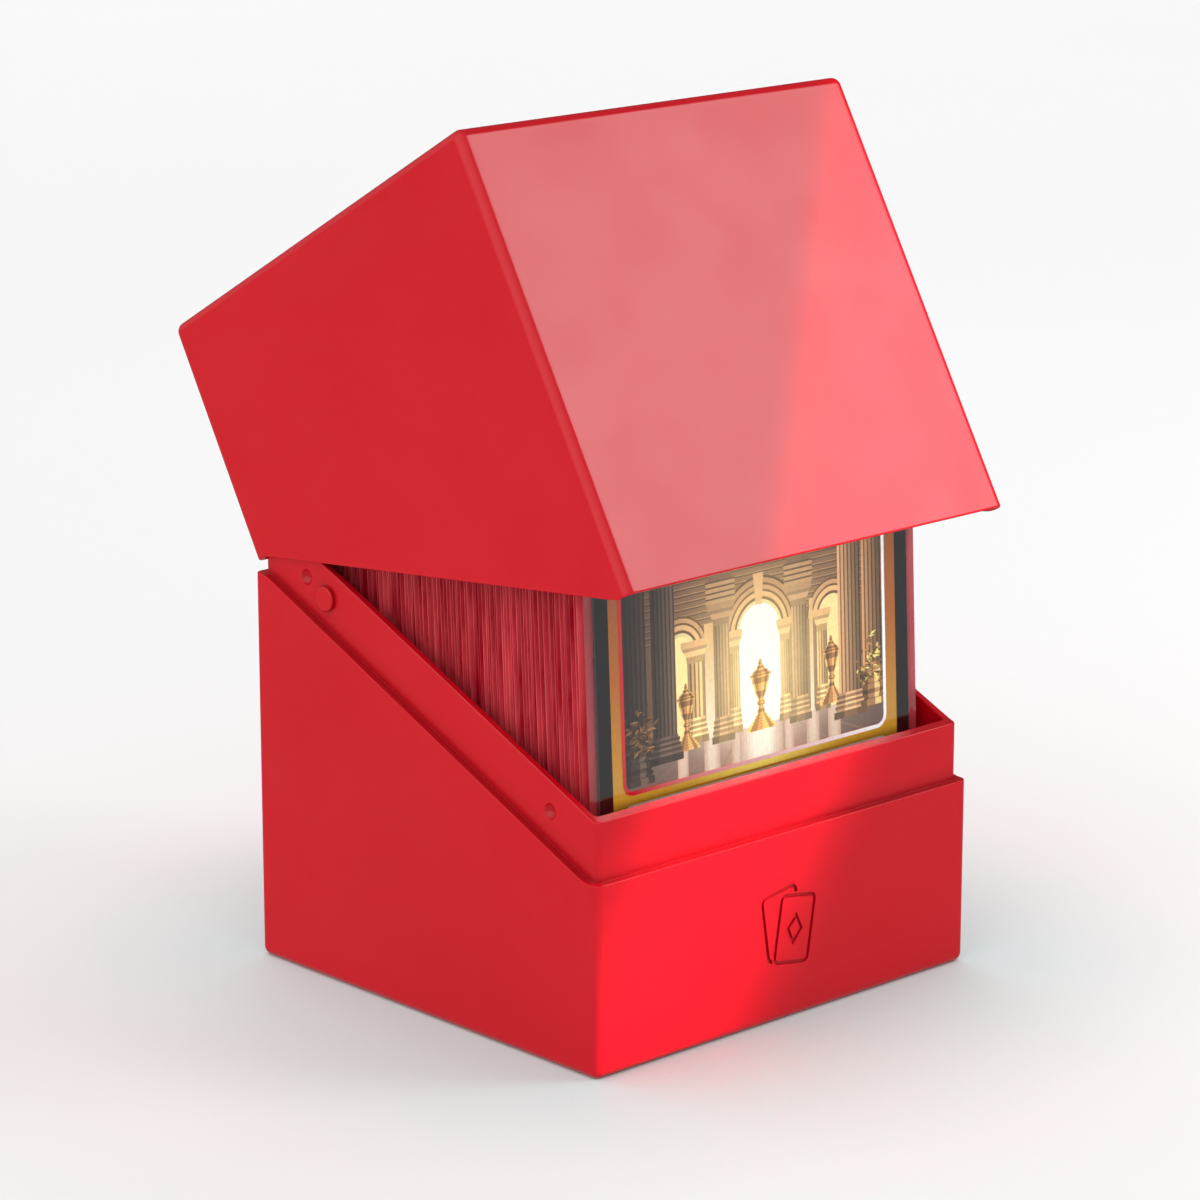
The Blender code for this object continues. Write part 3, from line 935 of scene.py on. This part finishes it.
def leaves(art, u, foot, width, height, count, colour, layer):
    """A loose bush of small pointed leaves, densest in its middle."""
    for _ in range(count):
        p = u + random.gauss(0, 0.36) * width
        q = foot + abs(random.gauss(0.35, 0.3)) * height
        turn = random.uniform(0, math.pi)
        long = random.uniform(0.008, 0.018)
        thin = long * 0.35
        tone = random.choice((0.45, 0.7, 1.0, 1.5))
        outline = []
        for a, b in ((long, 0), (0, thin), (-long, 0), (0, -thin)):
            across = a * math.cos(turn) - b * math.sin(turn)
            rise = a * math.sin(turn) + b * math.cos(turn)
            outline.append(pic(p + across, q + rise))
        art.shape(outline, lit(tuple(min(c * tone, 255) for c in colour), 0.4), layer + 0.3 * random.random())


def planter(art, u, foot, half, colour, layer):
    """A bulging ribbed pot on a square foot."""
    profile = ((0.0, 1.15), (0.03, 1.15), (0.035, 0.8), (0.055, 0.95), (0.075, 1.0), (0.10, 0.9),
               (0.105, 0.7), (0.125, 1.0), (0.15, 1.12), (0.175, 0.95))
    for number, ((v0, r0), (v1, r1)) in enumerate(zip(profile, profile[1:])):
        for left, right, tone in ((-1.0, -0.5, 0.6), (-0.5, 0.2, 0.9), (0.2, 0.7, 1.5), (0.7, 1.0, 0.8)):
            outline = tapered(u, foot + v0, foot + v1, left, right, r0 * half, r1 * half)
            shade = tone * (0.75 if number % 2 else 1.1)
            art.shape(outline, lit(tuple(min(c * shade, 255) for c in colour), 0.4), layer)


def marble(u, v):
    """The polished floor: brightest in front of the light."""
    p, q = hall(u, v)
    near = math.exp(-((p - GLOW_U) / 0.26) ** 2)
    stone = mixed((74, 62, 58), (206, 168, 142), 0.25 + 0.75 * near)
    return mixed(stone, (255, 246, 220), near * (max(q, 0.0) / FLOOR_LINE) ** 2 * 0.8)


def draw_floor(art):
    patch(art, 0.0, 0.0, 1.0, FLOOR_LINE + 0.01, marble, 2.2, 24, 6)
    for k in range(9):
        far = 0.5 + (k - 4) * 0.062
        near = 0.5 + (k - 4) * 0.14
        outline = [pic(near - 0.004, 0.0), pic(near + 0.004, 0.0),
                   pic(far + 0.002, FLOOR_LINE), pic(far - 0.002, FLOOR_LINE)]
        if 0.0 < near < 1.0:
            art.shape(outline, lit((150, 122, 104), 0.6), 2.6)
    gleams = ((GLOW_U, 0.09, 1.0), (0.325, 0.03, 0.6), (0.42, 0.02, 0.45), (0.62, 0.02, 0.45),
              (0.715, 0.025, 0.5), (0.215, 0.02, 0.4), (0.80, 0.025, 0.4))
    steps = 6
    for centre, width, strength in gleams:
        for k in range(steps):
            half = width * (1 - 0.75 * k / steps)
            ink = mixed((206, 168, 142), (255, 250, 226), strength * (k + 1) / steps)
            patch(art, centre - half, 0.0, centre + half, FLOOR_LINE, ink, 2.7 + 0.04 * k)


def haze(u, v):
    """Light between the columns, warmer towards the top."""
    return mixed((255, 250, 226), (232, 190, 124), hall(u, v)[1] / 0.7)


def draw_vault(art):
    """A stone ground with bands of mouldings over the arches."""
    patch(art, 0.0, FLOOR_LINE, 1.0, HALL_TOP, lit((132, 98, 72)), 2, 16, 14)
    courses = 26
    for k in range(courses):
        foot = 0.62 + 0.03 * k
        patch(art, 0.0, foot, 1.0, foot + 0.006, lit((84, 62, 46)), 2.3, 16)
        patch(art, 0.0, foot + 0.006, 1.0, foot + 0.010, lit((190, 144, 100)), 2.3, 16)


def draw_hall(art):
    """A hall of arches with golden light behind them."""
    draw_vault(art)
    draw_floor(art)
    glow = (255, 253, 240)
    warm = (255, 232, 160)
    light_stone = (236, 190, 128)
    dark_stone = (112, 80, 54)
    rings = ((0.010, (255, 226, 160)), (0.008, dark_stone), (0.014, light_stone), (0.006, dark_stone),
             (0.012, (206, 160, 110)), (0.006, dark_stone), (0.014, (188, 144, 100)), (0.007, (92, 66, 46)))
    arch(art, GLOW_U, 0.57, 0.078, rings, glow, 3)
    arch(art, 0.215, 0.55, 0.050, rings[:6], warm, 3)
    arch(art, 0.800, 0.57, 0.045, rings[:6], warm, 3)
    keystone = tapered(GLOW_U, 0.69, 0.83, -1, 1, 0.012, 0.02)
    art.shape(keystone, lit((226, 178, 122)), 3.4)
    for centre, half in ((0.323, 0.017), (0.716, 0.007)):
        patch(art, centre - half, FLOOR_LINE, centre + half, 0.66, haze, 3.2, 1, 6)
    for u, half in ((GLOW_U - 0.096, 0.017), (GLOW_U + 0.096, 0.017), (0.270, 0.030), (0.757, 0.020)):
        column(art, u, 0.14, 0.60, half, (228, 178, 120), 4, 4)
    for u, stone in ((0.370, (164, 124, 90)), (0.668, (172, 132, 98))):
        column(art, u, 0.115, 0.74, 0.029, stone, 5, 5)
        for k in range(4):
            patch(art, u - 0.055, 0.74 + 0.025 * k, u + 0.055, 0.757 + 0.025 * k, lit((186, 144, 102)), 5, 2)
            patch(art, u - 0.055, 0.757 + 0.025 * k, u + 0.055, 0.765 + 0.025 * k, lit((84, 62, 46)), 5, 2)
        patch(art, u - 0.042, 0.84, u + 0.042, HALL_TOP, lit((118, 90, 66)), 5, 2, 5)
    urn(art, GLOW_U, 0.125, 0.32, 0.036, (226, 156, 78), 5.5)
    urn(art, 0.232, 0.12, 0.30, 0.031, (204, 144, 82), 5.5)
    urn(art, 0.792, 0.16, 0.31, 0.031, (190, 134, 80), 5.5)
    column(art, 0.045, 0.02, 1.40, 0.042, (72, 58, 50), 5.8, 5)
    column(art, 0.152, 0.09, 1.40, 0.044, (98, 78, 68), 6, 6)
    column(art, 0.955, 0.09, 1.40, 0.038, (178, 132, 88), 5.8, 5)
    column(art, 0.866, 0.075, 1.40, 0.044, (190, 144, 102), 6, 6)
    planter(art, 0.045, 0.02, 0.050, (92, 74, 60), 6.6)
    planter(art, 0.955, 0.10, 0.042, (176, 130, 84), 6.6)
    leaves(art, 0.05, 0.16, 0.08, 0.20, 130, (150, 104, 58), 6.9)
    leaves(art, 0.955, 0.22, 0.06, 0.18, 100, (216, 160, 88), 6.9)


def make_card():
    """The card: dark stock with the print on its front."""
    middle = POCKET_DEPTH / 2
    base_z = POCKET_WELD + REST_GAP
    place = lean_frame(DECK_FRONT_Y)
    outline = round_rectangle(CARD_WIDTH, CARD_HEIGHT, CARD_CORNER)
    core_place = Matrix.Translation((0, middle, base_z + CARD_HEIGHT / 2)) @ front_plane()
    core = prism([outline], CARD_THICKNESS, core_place)
    core.name = "card_core"
    core.data.transform(place)
    core.data.materials.append(STOCK)
    smooth(core)
    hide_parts("front_card")
    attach(core, "base")

    art = Print("card_art")
    wide, high = CARD_WIDTH / MM, CARD_HEIGHT / MM
    centre = (wide / 2, high / 2)
    border = round_rectangle(wide - 0.06, high - 0.06, CARD_CORNER / MM, 0.0, centre, 8)
    inside = round_rectangle(wide - 5.2, high - 5.2, 1.2, 0.0, centre, 8)
    art.strip(border + border[:1], inside + inside[:1], (14, 13, 13), 0.6)

    def gold(u, v):
        t = (v - 2.6) / (high - 5.2)
        ramp = bent((0.0, (170, 130, 30)), (0.28, (196, 160, 44)), (0.42, (190, 140, 44)),
                    (0.6, (168, 96, 34)), (1.0, (130, 70, 34)))
        colour = ramp(t)
        glow = math.exp(-((u - wide / 2) / 13) ** 2 - ((v - 34) / 4) ** 2)
        return mixed(colour, (255, 244, 120), 0.9 * glow)

    art.block(2.6, 2.6, wide - 2.6, high - 2.6, gold, 0.6, 20, 42)

    def panel(u, v):
        return mixed((250, 248, 232), (222, 220, 216), abs(u - wide / 2) / (wide / 2))

    sheet = round_rectangle(54.0, 27.2, 1.6, 0.0, (wide / 2, 20.2), 8)
    hub = (wide / 2, 20.2)
    for a, b in zip(sheet, sheet[1:] + sheet[:1]):
        art.shape([hub, a, b], panel, 1.4)
    frame_line(art, (4.1, 6.2), (58.9, 34.2), 0.35, 1.9, (176, 140, 40), 1.6)

    def line(u, v):
        return (196, 26, 40) if u < wide / 2 else (246, 246, 246)

    draw_hall(art)
    line_low = tuple(edge - LINE_OUTSIDE for edge in PIC_LOW)
    line_high = tuple(edge + LINE_OUTSIDE for edge in PIC_HIGH)
    frame_line(art, line_low, line_high, 0.6, 2.0, line, 8)
    printed = art.build(middle - CARD_THICKNESS / 2, base_z)
    applied(printed)
    printed.data.transform(place)
    printed.data.materials.append(PRINT)
    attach(printed, "base")


make_base()
make_lid()
make_front_sleeve()
make_card()
for packet_index in range(PACKETS):
    make_packet(packet_index)


# ---------------------------------------------------------------- stage, light and camera

def make_floor():
    reach = 6.0
    corners = [(-reach, -reach, 0), (reach, -reach, 0), (reach, reach, 0), (-reach, reach, 0)]
    mesh = bpy.data.meshes.new("floor")
    mesh.from_pydata(corners, [], [[0, 1, 2, 3]])
    floor = new_object("floor", mesh)
    finish = Finish("floor_paper", (0.93, 0.93, 0.93), 0.9)
    mix = finish.tint(finish.noise(3, 2), (0.925, 0.925, 0.925), (0.935, 0.935, 0.935))
    finish.near_box(mix.outputs["Result"])
    floor.data.materials.append(finish.material)
    floor.visible_glossy = False
    return floor


def area_light(name, target, direction, distance, size, radiance, spread=180):
    """A soft box that faces the target from a direction. Its radiance is relative to a white of 1."""
    width, height = size
    data = bpy.data.lights.new(name, "AREA")
    data.shape = "RECTANGLE"
    data.size = width
    data.size_y = height
    data.energy = radiance * math.pi * width * height
    data.spread = math.radians(spread)
    light = bpy.data.objects.new(name, data)
    bpy.context.scene.collection.objects.link(light)
    aim = Vector(direction).normalized()
    light.location = Vector(target) + aim * distance
    light.rotation_mode = "QUATERNION"
    light.rotation_quaternion = aim.to_track_quat("Z", "Y")
    return light


def band_light(name, distance, radiance):
    """A narrow flat beam from the upper right that crosses the front faces on a slant."""
    azimuth, elevation, slant = math.radians(30), math.radians(45), math.radians(-50)
    aim = Vector((math.sin(azimuth) * math.cos(elevation), -math.cos(azimuth) * math.cos(elevation),
                  math.sin(elevation)))
    level_axis = Vector((math.cos(azimuth), math.sin(azimuth), 0))
    rising = aim.cross(level_axis)
    across = math.cos(slant) * level_axis + math.sin(slant) * rising
    along = aim.cross(across)
    centre = Vector((0, -HALF_Y, 0.055))
    centre += across * (BAND_AT - centre.dot(across))
    light = area_light(name, centre, aim, distance, (BAND_WIDTH, 0.5), radiance, BAND_SPREAD)
    light.rotation_quaternion = Matrix((across, along, aim)).transposed().to_quaternion()
    return light


def make_world():
    """Grey below, and above a soft gradient that is brightest to the left."""
    world = bpy.data.worlds.new("studio")
    bpy.context.scene.world = world
    world.use_nodes = True
    tree = world.node_tree
    back = tree.nodes["Background"]
    back.inputs["Color"].default_value = (1, 1, 1, 1)
    coords = tree.nodes.new("ShaderNodeTexCoord")

    def math_node(operation, a, b=None, clamp=False):
        node = tree.nodes.new("ShaderNodeMath")
        node.operation = operation
        node.use_clamp = clamp
        for socket, value in zip(node.inputs, (a, b)):
            if value is None:
                continue
            if isinstance(value, (int, float)):
                socket.default_value = value
            else:
                tree.links.new(value, socket)
        return node.outputs[0]

    dot = tree.nodes.new("ShaderNodeVectorMath")
    dot.operation = "DOT_PRODUCT"
    dot.inputs[1].default_value = Vector((-0.9, -0.1, 0.42)).normalized()
    tree.links.new(coords.outputs["Generated"], dot.inputs[0])
    split = tree.nodes.new("ShaderNodeSeparateXYZ")
    tree.links.new(coords.outputs["Generated"], split.inputs[0])
    half = math_node("MULTIPLY_ADD", dot.outputs["Value"], 0.5)
    half.node.inputs[2].default_value = 0.5
    glow = math_node("MULTIPLY", math_node("POWER", half, 2.0), 1.19)
    upper = math_node("ADD", glow, 0.03)
    share = math_node("MULTIPLY_ADD", split.outputs["Z"], 8.0, clamp=True)
    share.node.inputs[2].default_value = 0.5
    mix = tree.nodes.new("ShaderNodeMix")
    mix.inputs["A"].default_value = 0.24
    tree.links.new(share, mix.inputs["Factor"])
    tree.links.new(upper, mix.inputs["B"])
    tree.links.new(mix.outputs["Result"], back.inputs["Strength"])


def make_lights(floor):
    area_light("sheen_box", LID_FACE, (0.66, -0.575, 0.486), 0.6, (0.27, 0.27), 4.5)
    beam = band_light("front_beam", 0.4, 1.8)
    beam.visible_glossy = False
    card_light = area_light("card_light", (0, -0.03, 0.06), (-0.25, -0.95, 0.12), 0.5, (0.3, 0.2), 11.0)
    card_light.visible_glossy = False
    card = bpy.data.collections.new("card_only")
    for name in ("card_core", "card_art"):
        card.objects.link(bpy.data.objects[name])
    card_light.light_linking.receiver_collection = card
    paper = area_light("paper_light", (1.6, 1.8, 0), (0, 0, 1), 2.5, (5, 5), 0.94)
    paper.visible_glossy = False
    only_floor = bpy.data.collections.new("paper_only")
    only_floor.objects.link(floor)
    paper.light_linking.receiver_collection = only_floor
    shells = bpy.data.collections.new("shells_only")
    for name in ("base_moulding", "lid_moulding"):
        shells.objects.link(bpy.data.objects[name])
    beam.light_linking.receiver_collection = shells


def make_camera():
    """The photograph's view: a long lens from the front left, a little above."""
    azimuth, elevation = -0.7493247, 0.2577185
    back = Vector((math.sin(azimuth) * math.cos(elevation), -math.cos(azimuth) * math.cos(elevation),
                   math.sin(elevation)))
    right = Vector((math.cos(azimuth), math.sin(azimuth), 0))
    up = back.cross(right)
    data = bpy.data.cameras.new("camera")
    data.lens = 135.448
    data.sensor_width = 36
    data.clip_start = 0.01
    data.clip_end = 50
    camera = bpy.data.objects.new("camera", data)
    bpy.context.scene.collection.objects.link(camera)
    camera.matrix_world = Matrix.Translation((-0.4436166, -0.4741907, 0.2271734)) @ Matrix(
        (right, up, back)).transposed().to_4x4()
    bpy.context.scene.camera = camera


make_world()
make_lights(make_floor())
make_camera()
view = bpy.context.scene.view_settings
view.view_transform = "Standard"
view.look = "None"
